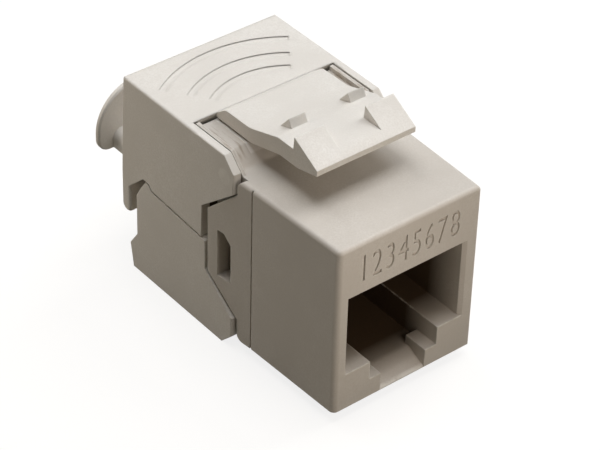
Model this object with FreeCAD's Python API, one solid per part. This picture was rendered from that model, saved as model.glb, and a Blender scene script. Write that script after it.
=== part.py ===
import FreeCAD, Part
import math
import os

# Keystone jack for eight-wire network cable, of the kind that is closed by hand without a punch-down tool.
# Millimetres, +Z up. The plug goes in along +Y from the front face, the cable leaves at the rear.
# Everything is drawn on a datum at the middle of the housing's lower front edge (front face y = 0, underside
# z = 0, mid-plane x = 0) and moved at the end, so that the origin is at the bottom centre of the whole part.

V = FreeCAD.Vector

# ---- the sizes that set all others off ----
FACE_WIDTH = 14.5          # standard width of a keystone front
BODY_HEIGHT = 16.3         # of the front housing
PORT_DEPTH = 12.2          # from the front face to the rear of the contact carrier
ARM_OVERHANG = 0.88        # the hinged arms stand out beyond the face by this much on each side
ARM_WIDTH = FACE_WIDTH + 2 * ARM_OVERHANG
FIT = 0.1                  # sliding clearance of the inner pieces
MERGE = 0.3                # depth by which joined shapes run into each other

# ---- circuit board, and the pivots level with its rear face ----
BOARD_GAP = 0.3            # between the contact carrier and the board
BOARD_THICKNESS = 1.0
BOARD_FRONT_Y = PORT_DEPTH + BOARD_GAP
BOARD_REAR_Y = BOARD_FRONT_Y + BOARD_THICKNESS
PIVOT_Y = BOARD_REAR_Y
MID_RISE = 0.31            # the plane between the arms lies above the middle of the housing's height
MID_Z = BODY_HEIGHT / 2 + MID_RISE
PIVOT_INSET = 0.64         # the pivots lie inside the housing's height by this much
PIVOT_RISE = BODY_HEIGHT / 2 - PIVOT_INSET
UPPER_PIVOT_Z = MID_Z + PIVOT_RISE
LOWER_PIVOT_Z = MID_Z - PIVOT_RISE

# ---- front housing: snap ears ----
EAR_INSET = 0.05           # each ear lies this far inside the arm's side at its rear edge
EAR_WIDTH = ARM_WIDTH - 2 * EAR_INSET
EAR_BEHIND_PIVOT = 2.05
EAR_REAR_Y = PIVOT_Y + EAR_BEHIND_PIVOT
CREASE_AHEAD = 3.15        # end of the drafted front section, ahead of the pivots
CREASE_Y = PIVOT_Y - CREASE_AHEAD
CREASE_SHARE = 0.42        # part of the widening from face to ears that the front section takes
CREASE_WIDTH = FACE_WIDTH + (EAR_WIDTH - FACE_WIDTH) * CREASE_SHARE
CREASE_GROOVE = 0.14       # width and depth of the fine line at the crease
UPPER_EAR_ANGLE = 42.5     # slope of the ear's upper and lower rear edges
LOWER_EAR_ANGLE = 41.5
UPPER_EAR_REACH = 1.78     # distance of those edges from the pivots
LOWER_EAR_REACH = 1.84
FACE_EDGE_R = 0.5          # upright front edge on the left; the one on the right is nearly sharp
FACE_SHARP_R = 0.2
TOP_EDGE_R = 0.4

# ---- arms: sides and plates ----
ARM_COVER = 1.35           # the arms reach this far beyond the housing's height, measured from the mid-plane
ARM_HALF_HEIGHT = BODY_HEIGHT / 2 + ARM_COVER
ARM_TOP = MID_Z + ARM_HALF_HEIGHT
ARM_BOTTOM = MID_Z - ARM_HALF_HEIGHT
BEYOND = ARM_HALF_HEIGHT   # cutting shapes reach this far past what they cut
ARM_SIDE = 0.9
ARM_PLATE = 1.2
ARM_EDGE_R = 0.12          # long upper edges
ARM_REAR_EDGE_R = 0.3      # upright rear edges
ARM_DRAFT = 0.2            # the upper arm is this much narrower on each side at its top
RAIL_INNER = ARM_WIDTH / 2 - ARM_SIDE
ARM_AHEAD = 1.2            # upright front edge of each arm's side, ahead of the pivot
ARM_FRONT_Y = PIVOT_Y - ARM_AHEAD
UPPER_FRONT_EDGE_R = 0.4   # its outer corner
LOWER_FRONT_EDGE_R = 0.15
BEVEL_ANGLE = 45.0         # slope of the front bevel, which stops the opened arm at the housing
BEVEL_START = 0.075        # behind the pivot
ARM_SLOPE_REACH = 1.65     # distance of the sloping edge from the pivot
UPPER_SLOPE = 40.0
LOWER_SLOPE = 41.0
POCKET_GAP = 0.26          # between an arm's front edge and the housing
POCKET_Y = ARM_FRONT_Y - POCKET_GAP
POCKET_TOP_R = 0.7
UPPER_EAR_GAP = 0.85       # between the ear's rear edge and the arms' upright edges
LOWER_EAR_GAP = 0.35
UPPER_FRONT_Y = EAR_REAR_Y + UPPER_EAR_GAP
LOWER_FRONT_Y = EAR_REAR_Y + LOWER_EAR_GAP
SEAM_GAP = 0.2
SEAM_FRONT_DROP = 0.33     # the seam's middle lies below the mid-plane at its front end
SEAM_REAR_RISE = 0.18      # and above it at its rear end

# ---- terminal block: places along the jack ----
BLOCK_GAP = 0.2            # behind the board
BLOCK_FRONT_Y = BOARD_REAR_Y + BLOCK_GAP
BLOCK_FLANGE = 2.3
BLOCK_FLANGE_REAR_Y = BLOCK_FRONT_Y + BLOCK_FLANGE
BLOCK_LENGTH = 7.0         # behind its flange
BLOCK_REAR_Y = BLOCK_FLANGE_REAR_Y + BLOCK_LENGTH
SPLITTER_LENGTH = 0.7
SPLITTER_Y = BLOCK_REAR_Y + SPLITTER_LENGTH

# ---- arms: rear walls with the hook and the snap nose ----
LOWER_WALL_GAP = 0.6       # behind the terminal block
LOWER_WALL_Y = SPLITTER_Y + LOWER_WALL_GAP
LOWER_WALL = 1.15
LOWER_REAR_Y = LOWER_WALL_Y + LOWER_WALL
LOWER_REAR_DRAFT = 0.05
UPPER_REAR_BEHIND = 1.8    # the upper arm's rear face at its top, behind the lower arm's
UPPER_REAR_Y = LOWER_REAR_Y + UPPER_REAR_BEHIND
UPPER_REAR_LEAN = 0.43     # it stands this much further back at the mid-plane
REAR_WALL = 1.23
HOOK_LENGTH = 4.06         # of the upper arm's rear wall below the mid-plane
HOOK_INNER_R = 0.5
HOOK_REAR_R = 0.7
HOOK_CEILING = 0.74        # roof of the space for the snap nose, above the mid-plane
HOOK_CEILING_AHEAD = 2.75  # its level part ends this far ahead of the rear face
HOOK_CEILING_Y = UPPER_REAR_Y - HOOK_CEILING_AHEAD
HOOK_CEILING_FALL = 1.06   # at the rear wall it is this far below the mid-plane
NOSE_AHEAD = 2.2           # the snap nose begins this far ahead of the lower arm's rear face
NOSE_FRONT_Y = LOWER_REAR_Y - NOSE_AHEAD
NOSE_RISE = 0.59           # above the mid-plane
NOSE_LENGTH = 0.4          # of its level top
HEEL_BEHIND = 1.09         # thick foot of the lower arm's rear wall
HEEL_Y = LOWER_REAR_Y + HEEL_BEHIND
HEEL_HEIGHT = 2.37
HEEL_SLOPE = 1.5
HEEL_DRAFT = 0.41

# ---- hinge pins of the housing and their blind bores in the arms ----
HUB_GAP = 0.15
HALF_HUB = RAIL_INNER - HUB_GAP
PIN_R = 0.7
PIN_LENGTH = 0.65
BORE_CLEARANCE = 0.05
BORE_END_GAP = 0.1

# ---- front housing: inside ----
FRONT_WALL = 1.3
ROOF = 1.2
CAVITY_TOP = BODY_HEIGHT - ROOF
REAR_FLOOR = 2.2
HUB_WALL = 0.58
CAVITY_HALF = HALF_HUB - HUB_WALL
PORT_SIDE = 1.35           # wall beside the port
PORT_WIDTH = FACE_WIDTH - 2 * PORT_SIDE
LABEL_BAND = 5.25          # height of the face above the port
PORT_TOP = BODY_HEIGHT - LABEL_BAND
PORT_EASING = 0.3          # chamfer round the mouth of the port
LEDGE_TOP = 3.6            # shelf that carries the plug's body
LEDGE_GAP = 7.1
STEP_TOP = 1.8             # lower step beside the plug's latch
STEP_GAP = 4.7
STEP_LENGTH = 2.4
NOTCH_FLOOR = 0.9
NOTCH_SLOPE_LENGTH = 1.9

# ---- snap windows in the ears ----
WINDOW_AHEAD = 0.7         # ahead of the pivots
WINDOW_LENGTH = 1.6
WINDOW_FRONT_Y = PIVOT_Y - WINDOW_AHEAD
WINDOW_REAR_Y = WINDOW_FRONT_Y + WINDOW_LENGTH
WINDOW_BELOW = 3.06        # below the mid-plane
WINDOW_ABOVE = 1.64
WINDOW_BOTTOM = MID_Z - WINDOW_BELOW
WINDOW_TOP = MID_Z + WINDOW_ABOVE
WINDOW_CORNER = 0.8

# ---- cable collar on the upper arm ----
CABLE_BORE_R = 3.9
ARCH_WALL = 1.0
COLLAR_LENGTH = 4.25
FLANGE_THICKNESS = 0.6
FLANGE_REAR_Y = UPPER_REAR_Y + COLLAR_LENGTH
FLANGE_RISE = 5.79         # flange above the mid-plane
FLANGE_DROP = 0.41         # and below it
FLANGE_TOP_R = 4.35
FLANGE_BOTTOM_R = 1.25
FLANGE_EDGE = 0.15         # chamfer round its rim
FLARE = 0.5
FOOT_WIDTH = 2.8           # flat bars on both sides of the arch
FOOT_HEIGHT = 1.85
FOOT_DROP = 0.3            # below the mid-plane
FOOT_TOP_R = 1.0
FOOT_BOTTOM_R = 0.2

# ---- grip grooves on the upper arm's plate ----
GROOVE_RADII = (6.85, 8.75, 11.15)
GROOVE_CENTRE_AHEAD = 12.55         # of the rear face
GROOVE_CENTRE_Y = UPPER_REAR_Y - GROOVE_CENTRE_AHEAD
GROOVE_HALF_ANGLE = 36.0
GROOVE_WIDTH = 0.6
GROOVE_DEPTH = 0.1

# ---- what holds the jack in its panel ----
PANEL_FACE_Y = 8.6         # ridge of the lever and fixed hook bear on the panel's front here
PANEL_GRIP = 2.3           # panel thickness between the ridge and the teeth, with play
PANEL_STOP_Y = PANEL_FACE_Y + PANEL_GRIP
CATCH_WIDTH = 9.0
CATCH_LENGTH = 2.1
STOP_LENGTH = 1.3

# ---- latch lever, moulded on the housing's roof; heights are above the roof ----
LEVER_INSET = 2.25         # inside the face's width on each side
LEVER_WIDTH = FACE_WIDTH - 2 * LEVER_INSET
LEVER_ROOT_BEHIND = 4.95   # behind the pivots
LEVER_ROOT_Y = PIVOT_Y + LEVER_ROOT_BEHIND
LEVER_ROOT_STAND = 0.14    # above the arm's plate
LEVER_ROOT_TOP = ARM_TOP + LEVER_ROOT_STAND
LEVER_ROOT_R = 0.1
PEDESTAL_RISE = 1.2
PEDESTAL_TOP = BODY_HEIGHT + PEDESTAL_RISE
LEVER_SHOULDER_LENGTH = 1.15
LEVER_SHOULDER_Y = LEVER_ROOT_Y - LEVER_SHOULDER_LENGTH
LEVER_SHOULDER_RISE = 2.7
LEVER_SHOULDER_TOP = BODY_HEIGHT + LEVER_SHOULDER_RISE
LEVER_SHOULDER_R = 1.2
LEVER_BEND_BEHIND = 0.6    # behind the pivots
LEVER_BEND_Y = PIVOT_Y + LEVER_BEND_BEHIND
LEVER_BEND_RISE = 2.76
LEVER_BEND_TOP = BODY_HEIGHT + LEVER_BEND_RISE
LEVER_BEND_R = 2.5
LEVER_LEVEL_LENGTH = 1.9   # level part behind the ridge
LEVER_LEVEL_Y = PANEL_FACE_Y + LEVER_LEVEL_LENGTH
LEVER_LEVEL_RISE = 3.9
LEVER_LEVEL_TOP = BODY_HEIGHT + LEVER_LEVEL_RISE
LEVER_LEVEL_R = 1.2
LEVER_THICKNESS = 1.5
LEVER_UNDER_R = 2.0
LEVER_TIP_LENGTH = 2.95    # ahead of the panel's face
LEVER_TIP_Y = PANEL_FACE_Y - LEVER_TIP_LENGTH
LEVER_TIP_RISE = 3.45
LEVER_TIP_TOP = BODY_HEIGHT + LEVER_TIP_RISE
LEVER_TIP_FACE = 0.5
LEVER_TIP_R = 0.6
RIDGE_RISE = 5.05
RIDGE_TOP = BODY_HEIGHT + RIDGE_RISE
RIDGE_LEAN = 0.1
TROUGH_HALF_WIDTH = 2.1
TOOTH_WIDTH = 1.62
TOOTH_HEIGHT = 0.72
TOOTH_LENGTH = 1.4
TOOTH_FACE_LEAN = 0.4
TOOTH_LEFT_X = -3.33
TOOTH_RIGHT_X = 2.65
PEDESTAL_FRONT_BEHIND = 0.9         # behind the pivots
PEDESTAL_FRONT_Y = PIVOT_Y + PEDESTAL_FRONT_BEHIND
PEDESTAL_RAMP = 1.5
PEDESTAL_TOE_R = 0.6
PEDESTAL_FRONT_R = 0.3
LEVER_ROOT_LENGTH = 1.55   # the lever is joined to the pedestal over this length
LEVER_ROOT_INSET = 0.7     # and this far inside its sides
LEVER_ROOT_GAP = 0.22      # elsewhere it stands this high above the pedestal
HUB_RIM = 0.36             # raised rims along both sides of the hub, level with the arm's rails
HUB_RIM_DROP = 0.06
HUB_RIM_START = 0.3        # behind the pivots
NOTCH_GAP = 0.15           # between the lever's rear and the upper arm's plate
UPPER_NOTCH_Y = LEVER_ROOT_Y + NOTCH_GAP
NOTCH_UNDERCUT = 0.4       # slope of the plate's front edge

# ---- terminal block ----
BLOCK_WIDTH = 2 * (CAVITY_HALF - FIT)
BLOCK_COVER = 5.55         # from the arms' outer face to the block's face
BLOCK_HALF_HEIGHT = ARM_HALF_HEIGHT - BLOCK_COVER
BLOCK_TOP = MID_Z + BLOCK_HALF_HEIGHT
SPLITTER_HALF = 0.5
SPLITTER_R = 0.4
WIRE_R = 0.7
WIRE_LIFT = 0.15
WIRE_PITCH = BLOCK_WIDTH / 4
WIRE_X = (-1.5 * WIRE_PITCH, -0.5 * WIRE_PITCH, 0.5 * WIRE_PITCH, 1.5 * WIRE_PITCH)
OUTER_ROW = 3.3            # rows of terminals, behind the block's flange
INNER_ROW = 5.3
OUTER_ROW_Y = BLOCK_FLANGE_REAR_Y + OUTER_ROW
INNER_ROW_Y = BLOCK_FLANGE_REAR_Y + INNER_ROW
COMB_WALL = 0.7
COMB_RISE = 1.5
COMB_POST = 0.9
TONGUE_THICKNESS = 0.75
TONGUE_TOOTH_REACH = 0.5
TONGUE_TOOTH_FACE = 0.4
SNAP_CLEARANCE = 0.2
LOWER_NOTCH_GAP = 0.6      # between the block's flange and the lower arm's plate
LOWER_NOTCH_Y = BLOCK_FLANGE_REAR_Y + LOWER_NOTCH_GAP

# ---- circuit board: width, height and holes ----
BOARD_SIDE_GAP = 0.15      # beside the block's tongues
BOARD_WIDTH = BLOCK_WIDTH - 2 * (TONGUE_THICKNESS + BOARD_SIDE_GAP)
BOARD_MARGIN = 0.4         # above the rear floor and below the roof
CONTACT_HOLE_R = 0.32
TERMINAL_HOLE_R = 0.42

# ---- contact carrier and spring contacts ----
CONTACT_COUNT = 8
CONTACT_PITCH = 1.02
CONTACT_WIDTH = 0.36
CONTACT_THICKNESS = 0.26
CONTACT_SLOT = 0.6
CONTACT_ROW_DROPS = (2.0, 1.0)      # below the chamber's roof
CONTACT_SET_BACK = 1.3              # behind the front wall
CONTACT_FRONT_Y = FRONT_WALL + CONTACT_SET_BACK
CONTACT_KNEE_RISE = 0.5             # above the port's top
CONTACT_END_GAP = 0.8               # ahead of the port's end
CONTACT_END_Y = PORT_DEPTH - CONTACT_END_GAP
CONTACT_END_RISE = 3.0              # above the plug's shelf
CONTACT_TAIL = 0.15                 # behind the board
CONTACT_BEND_R = 0.5
CONTACT_ROOM = 0.05
CARRIER_WALL = 1.0
COMB_DEPTH = 0.6
COMB_DROP = 1.2

# ---- cutting terminals ----
TERMINAL_WIDTH = 2.4
TERMINAL_THICKNESS = 0.4
TERMINAL_RISE = 2.1        # prongs above the block
TERMINAL_FOOT = 2.5        # plate below the block's face
TERMINAL_CORNER = 0.3
TERMINAL_PIN = 0.5
TERMINAL_SLOT = 0.34
TERMINAL_SLOT_DEPTH = 2.6
TERMINAL_MOUTH = 0.6
PIN_TAIL = 0.12

# ---- pressing ribs inside the arms ----
RIB_WIDTH = 0.9
RIB_END_GAP = 0.65         # above the block's face
RIB_FRONT = 0.45           # behind the upper plate's front edge
RIB_FRONT_Y = UPPER_NOTCH_Y + RIB_FRONT
RIB_REAR_GAP = 0.3         # ahead of the block's comb
RIB_REAR_Y = BLOCK_REAR_Y - COMB_WALL - RIB_REAR_GAP
RIB_AHEAD = 1.0            # free space ahead of a terminal, for the rib's swing
RIB_BEHIND = 0.55


# ---------------------------------------------------------------- drawing helpers
def rounded_wire(points, place):
    """Closed outline from (u, v) or (u, v, radius) corners; place turns (u, v) into a vector."""
    count = len(points)
    ends = []
    for i, p in enumerate(points):
        here = V(p[0], p[1], 0)
        if len(p) < 3 or p[2] <= 0:
            ends.append((here, None, here))
            continue
        before = (V(*points[i - 1][:2], 0) - here).normalize()
        after = (V(*points[(i + 1) % count][:2], 0) - here).normalize()
        half = before.getAngle(after) / 2
        run = p[2] / math.tan(half)
        middle = here + (before + after).normalize() * (p[2] / math.sin(half) - p[2])
        ends.append((here + before * run, middle, here + after * run))
    edges = []
    for i, (start, middle, end) in enumerate(ends):
        if middle is not None:
            edges.append(Part.Arc(place(start), place(middle), place(end)).toShape())
        following = ends[(i + 1) % count][0]
        if end.distanceToPoint(following) > 1e-6:
            edges.append(Part.makeLine(place(end), place(following)))
    return Part.Wire(edges)


def prism_x(points, x0, x1):
    """Outline in (y, z), extruded from x0 to x1."""
    wire = rounded_wire(points, lambda p: V(x0, p.x, p.y))
    return Part.Face(wire).extrude(V(x1 - x0, 0, 0))


def prism_y(points, y0, y1):
    """Outline in (x, z), extruded from y0 to y1."""
    wire = rounded_wire(points, lambda p: V(p.x, y0, p.y))
    return Part.Face(wire).extrude(V(0, y1 - y0, 0))


def prism_z(points, z0, z1):
    """Outline in (x, y), extruded from z0 to z1."""
    wire = rounded_wire(points, lambda p: V(p.x, p.y, z0))
    return Part.Face(wire).extrude(V(0, 0, z1 - z0))


def block(x0, x1, y0, y1, z0, z1):
    return Part.makeBox(x1 - x0, y1 - y0, z1 - z0, V(x0, y0, z0))


def rod_x(radius, x0, x1, y, z):
    return Part.makeCylinder(radius, x1 - x0, V(x0, y, z), V(1, 0, 0))


def rod_y(radius, y0, y1, x, z):
    return Part.makeCylinder(radius, y1 - y0, V(x, y0, z), V(0, 1, 0))


def both_sides(shape):
    """The shape and its mirror image across the mid-plane x = 0."""
    return [shape, shape.mirror(V(0, 0, 0), V(1, 0, 0))]


def flipped(shape):
    """The shape turned over about the plane between the two arms."""
    return shape.mirror(V(0, 0, MID_Z), V(0, 0, 1))


def near(a, b):
    return abs(a - b) < 1e-4


def fillet_where(shape, radius, wanted):
    """Rounds the edges whose end points satisfy wanted(p, q)."""
    edges = []
    for edge in shape.Edges:
        if len(edge.Vertexes) == 2 and wanted(edge.Vertexes[0].Point, edge.Vertexes[1].Point):
            edges.append(edge)
    return shape.makeFillet(radius, edges)


def arc_about(start, centre, end):
    """Arc in a plane of constant x, from start to end round a centre given as (y, z)."""
    radius = math.hypot(start[0] - centre[0], start[1] - centre[1])
    way = (start[0] + end[0] - 2 * centre[0], start[1] + end[1] - 2 * centre[1])
    length = math.hypot(*way)
    middle = (centre[0] + way[0] / length * radius, centre[1] + way[1] / length * radius)
    return Part.Arc(V(0, *start), V(0, *middle), V(0, *end)).toShape()


def chain(points):
    """Straight edges through (y, z) points."""
    places = [V(0, y, z) for y, z in points]
    return [Part.makeLine(a, b) for a, b in zip(places, places[1:])]


def slope_z(y, reach, angle):
    """Height of the line that passes below the upper pivot at a distance and falls to the rear."""
    turn = math.radians(angle)
    return UPPER_PIVOT_Z - reach * math.cos(turn) - (y - PIVOT_Y + reach * math.sin(turn)) * math.tan(turn)


# ---------------------------------------------------------------- front housing
def housing_shell():
    half_face = FACE_WIDTH / 2
    half_crease = CREASE_WIDTH / 2
    half_ear = EAR_WIDTH / 2
    plan = [(-half_face, 0, FACE_EDGE_R), (half_face, 0, FACE_SHARP_R), (half_crease, CREASE_Y),
            (half_ear, EAR_REAR_Y), (-half_ear, EAR_REAR_Y), (-half_crease, CREASE_Y)]
    shell = prism_z(plan, 0, BODY_HEIGHT)
    shell = fillet_where(shell, TOP_EDGE_R, lambda p, q: near(p.z, BODY_HEIGHT) and near(q.z, BODY_HEIGHT)
                         and not (near(p.y, EAR_REAR_Y) and near(q.y, EAR_REAR_Y)))
    for x in (half_crease, -half_crease):
        groove = block(x - CREASE_GROOVE, x + CREASE_GROOVE, CREASE_Y - CREASE_GROOVE / 2,
                       CREASE_Y + CREASE_GROOVE / 2, -BEYOND, BODY_HEIGHT + BEYOND)
        shell = shell.cut(groove)
    return shell


def ear_cut(reach, angle, surface_z):
    """Clears the housing outside the hub for the front end of the upper arm; drawn also for the lower arm."""
    top = ARM_TOP + BEYOND
    rear = EAR_REAR_Y + BEYOND
    outline = [(POCKET_Y, top), (POCKET_Y, slope_z(POCKET_Y, reach, angle)),
               (rear, slope_z(rear, reach, angle)), (rear, top)]
    cut = prism_x(outline, HALF_HUB, ARM_WIDTH)
    corner = block(HALF_HUB, ARM_WIDTH, POCKET_Y - POCKET_TOP_R, POCKET_Y, surface_z - POCKET_TOP_R, top)
    round_off = rod_x(POCKET_TOP_R, HALF_HUB, ARM_WIDTH, POCKET_Y - POCKET_TOP_R, surface_z - POCKET_TOP_R)
    return cut.fuse(corner.cut(round_off))


def housing_inside():
    """Rear cavity, contact chamber, plug port and its stepped floor."""
    half_port = PORT_WIDTH / 2
    rear = block(-CAVITY_HALF, CAVITY_HALF, PORT_DEPTH, LEVER_ROOT_Y + BEYOND, REAR_FLOOR, CAVITY_TOP)
    chamber = block(-half_port, half_port, FRONT_WALL, PORT_DEPTH, LEDGE_TOP, CAVITY_TOP)
    port = block(-half_port, half_port, -BEYOND, PORT_DEPTH, LEDGE_TOP, PORT_TOP)
    upper_way = block(-LEDGE_GAP / 2, LEDGE_GAP / 2, -BEYOND, PORT_DEPTH, STEP_TOP, LEDGE_TOP)
    lower_way = block(-LEDGE_GAP / 2, LEDGE_GAP / 2, STEP_LENGTH, PORT_DEPTH, NOTCH_FLOOR, STEP_TOP)
    notch_side = [(-BEYOND, -BEYOND), (0, 0), (NOTCH_SLOPE_LENGTH, NOTCH_FLOOR), (PORT_DEPTH, NOTCH_FLOOR),
                  (PORT_DEPTH, STEP_TOP), (-BEYOND, STEP_TOP)]
    notch = prism_x(notch_side, -STEP_GAP / 2, STEP_GAP / 2)
    return rear.fuse([chamber, port, upper_way, lower_way, notch])


def port_easing():
    """Chamfer at both sides and the top of the port's mouth."""
    wires = []
    for grown, y in ((PORT_EASING, 0), (0, PORT_EASING)):
        w = PORT_WIDTH / 2 + grown
        corners = [V(-w, y, LEDGE_TOP), V(w, y, LEDGE_TOP), V(w, y, PORT_TOP + grown), V(-w, y, PORT_TOP + grown)]
        wires.append(Part.makePolygon(corners + [corners[0]]))
    return Part.makeLoft(wires, True)


def snap_window():
    """Window through one ear."""
    corner = WINDOW_CORNER
    hole = [(WINDOW_FRONT_Y, WINDOW_BOTTOM), (WINDOW_REAR_Y, WINDOW_BOTTOM), (WINDOW_REAR_Y, WINDOW_TOP),
            (WINDOW_FRONT_Y + corner, WINDOW_TOP), (WINDOW_FRONT_Y, WINDOW_TOP - corner)]
    return prism_x(hole, CAVITY_HALF - MERGE, EAR_WIDTH / 2 + BEYOND)


def lever_fall():
    """How much the lever's top falls per millimetre towards its bend."""
    return (LEVER_LEVEL_TOP - LEVER_BEND_TOP) / (LEVER_BEND_Y - LEVER_LEVEL_Y)


def lever_profile():
    """Side outline of the latch lever."""
    under_level = LEVER_LEVEL_TOP - LEVER_THICKNESS
    under_rear = PEDESTAL_TOP + LEVER_ROOT_GAP
    under_bend_y = LEVER_BEND_Y - LEVER_THICKNESS * lever_fall() * 0.4
    return [
        (LEVER_ROOT_Y, under_rear),
        (LEVER_ROOT_Y, LEVER_ROOT_TOP, LEVER_ROOT_R),
        (LEVER_SHOULDER_Y, LEVER_SHOULDER_TOP, LEVER_SHOULDER_R),
        (LEVER_BEND_Y, LEVER_BEND_TOP, LEVER_BEND_R),
        (LEVER_LEVEL_Y, LEVER_LEVEL_TOP, LEVER_LEVEL_R),
        (PANEL_FACE_Y, LEVER_LEVEL_TOP),
        (PANEL_FACE_Y - RIDGE_LEAN, RIDGE_TOP),
        (LEVER_TIP_Y, LEVER_TIP_TOP),
        (LEVER_TIP_Y, LEVER_TIP_TOP - LEVER_TIP_FACE),
        (PANEL_FACE_Y - LEVER_TIP_R, under_level, LEVER_TIP_R),
        (LEVER_LEVEL_Y - MERGE, under_level, LEVER_LEVEL_R),
        (under_bend_y, under_rear, LEVER_UNDER_R),
    ]


def lever_tooth(x0):
    """Small ramp that keeps the panel's edge from sliding back along the lever."""
    foot = LEVER_LEVEL_TOP - lever_fall() * (PANEL_STOP_Y - LEVER_LEVEL_Y)
    rear_foot = foot - lever_fall() * TOOTH_LENGTH
    side = [(PANEL_STOP_Y, foot - MERGE), (PANEL_STOP_Y, foot), (PANEL_STOP_Y + TOOTH_FACE_LEAN, foot + TOOTH_HEIGHT),
            (PANEL_STOP_Y + TOOTH_LENGTH, rear_foot), (PANEL_STOP_Y + TOOTH_LENGTH, rear_foot - MERGE)]
    return prism_x(side, x0, x0 + TOOTH_WIDTH)


def lever():
    half = LEVER_WIDTH / 2
    body = prism_x(lever_profile(), -half, half)
    trough = block(-TROUGH_HALF_WIDTH, TROUGH_HALF_WIDTH, LEVER_TIP_Y - BEYOND, PANEL_FACE_Y, LEVER_LEVEL_TOP,
                   RIDGE_TOP + BEYOND)
    half_root = half - LEVER_ROOT_INSET
    root = block(-half_root, half_root, LEVER_ROOT_Y - LEVER_ROOT_LENGTH, LEVER_ROOT_Y, PEDESTAL_TOP - MERGE,
                 PEDESTAL_TOP + LEVER_ROOT_GAP + MERGE)
    return body.cut(trough).fuse([root, lever_tooth(TOOTH_LEFT_X), lever_tooth(TOOTH_RIGHT_X)])


def pedestal():
    """Raised hub between the upper arm's rails, with a rim along each side."""
    toe_y = PEDESTAL_FRONT_Y - PEDESTAL_RAMP
    front_y = toe_y - PEDESTAL_TOE_R
    side = [(front_y, CAVITY_TOP), (front_y, BODY_HEIGHT), (toe_y, BODY_HEIGHT, PEDESTAL_TOE_R),
            (PEDESTAL_FRONT_Y, PEDESTAL_TOP, PEDESTAL_FRONT_R), (LEVER_ROOT_Y, PEDESTAL_TOP),
            (LEVER_ROOT_Y, CAVITY_TOP)]
    rim_y = PIVOT_Y + HUB_RIM_START
    rim_top = ARM_TOP - HUB_RIM_DROP
    rim = [(rim_y - (rim_top - BODY_HEIGHT), BODY_HEIGHT), (rim_y, rim_top), (LEVER_ROOT_Y, rim_top),
           (LEVER_ROOT_Y, CAVITY_TOP), (rim_y, CAVITY_TOP)]
    return prism_x(side, -HALF_HUB, HALF_HUB).fuse(both_sides(prism_x(rim, HALF_HUB - HUB_RIM, HALF_HUB)))


def hinge_pins():
    pins = []
    for z in (UPPER_PIVOT_Z, LOWER_PIVOT_Z):
        pins += both_sides(rod_x(PIN_R, HALF_HUB - MERGE, HALF_HUB + PIN_LENGTH, PIVOT_Y, z))
    return pins


def panel_catches():
    """Fixed hook and rear stop on the underside."""
    half = CATCH_WIDTH / 2
    rear = PANEL_FACE_Y - RIDGE_LEAN
    front = rear - CATCH_LENGTH
    hook = [(front, MERGE), (front, 0), (front - ARM_BOTTOM, ARM_BOTTOM), (rear, ARM_BOTTOM), (rear, MERGE)]
    stop_rear = PANEL_STOP_Y + STOP_LENGTH
    stop = [(PANEL_STOP_Y, MERGE), (PANEL_STOP_Y, ARM_BOTTOM), (stop_rear, ARM_BOTTOM), (stop_rear - ARM_BOTTOM, MERGE)]
    return [prism_x(hook, -half, half), prism_x(stop, -half, half)]


def front_housing():
    upper = ear_cut(UPPER_EAR_REACH, UPPER_EAR_ANGLE, BODY_HEIGHT)
    lower = flipped(ear_cut(LOWER_EAR_REACH, LOWER_EAR_ANGLE, 2 * MID_Z))
    shell = housing_shell().cut(both_sides(upper) + both_sides(lower))
    shell = shell.fuse(pedestal())
    shell = shell.cut([housing_inside(), port_easing()] + both_sides(snap_window()))
    shell = shell.fuse([lever()] + hinge_pins() + panel_catches())
    return shell.removeSplitter()


# ---------------------------------------------------------------- arms
def arm_front(slope, front_y):
    """Front end of the upper arm's side as (y, z) points from the plate to the foot of the slope."""
    bevel_top_y = PIVOT_Y + BEVEL_START
    bevel_end = ARM_TOP - (bevel_top_y - ARM_FRONT_Y) * math.tan(math.radians(BEVEL_ANGLE))
    return [(bevel_top_y, ARM_TOP), (ARM_FRONT_Y, bevel_end),
            (ARM_FRONT_Y, slope_z(ARM_FRONT_Y, ARM_SLOPE_REACH, slope)),
            (front_y, slope_z(front_y, ARM_SLOPE_REACH, slope))]


def seam_z(y, side):
    """Height of an arm's edge along the seam; side is +1 for the upper arm and -1 for the lower."""
    share = (y - LOWER_FRONT_Y) / (NOSE_FRONT_Y - LOWER_FRONT_Y)
    middle = MID_Z - SEAM_FRONT_DROP + share * (SEAM_FRONT_DROP + SEAM_REAR_RISE)
    return middle + side * SEAM_GAP / 2


def upper_outline():
    front = arm_front(UPPER_SLOPE, UPPER_FRONT_Y)
    foot_y = UPPER_REAR_Y + UPPER_REAR_LEAN
    inner_y = foot_y - REAR_WALL
    hook_z = MID_Z - HOOK_LENGTH
    inner_r, rear_r = HOOK_INNER_R, HOOK_REAR_R
    ceiling = MID_Z + HOOK_CEILING
    nose_z = seam_z(NOSE_FRONT_Y, 1)
    edges = chain(front + [(UPPER_FRONT_Y, seam_z(UPPER_FRONT_Y, 1)), (NOSE_FRONT_Y, nose_z),
                           (NOSE_FRONT_Y + ceiling - nose_z, ceiling), (HOOK_CEILING_Y, ceiling),
                           (inner_y, MID_Z - HOOK_CEILING_FALL), (inner_y, hook_z + inner_r)])
    edges.append(arc_about((inner_y, hook_z + inner_r), (inner_y + inner_r, hook_z + inner_r),
                             (inner_y + inner_r, hook_z)))
    edges += chain([(inner_y + inner_r, hook_z), (foot_y - rear_r, hook_z)])
    edges.append(arc_about((foot_y - rear_r, hook_z), (foot_y - rear_r, hook_z + rear_r), (foot_y, hook_z + rear_r)))
    edges += chain([(foot_y, hook_z + rear_r), (foot_y, MID_Z), (UPPER_REAR_Y, ARM_TOP), front[0]])
    return Part.Wire(edges)


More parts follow.
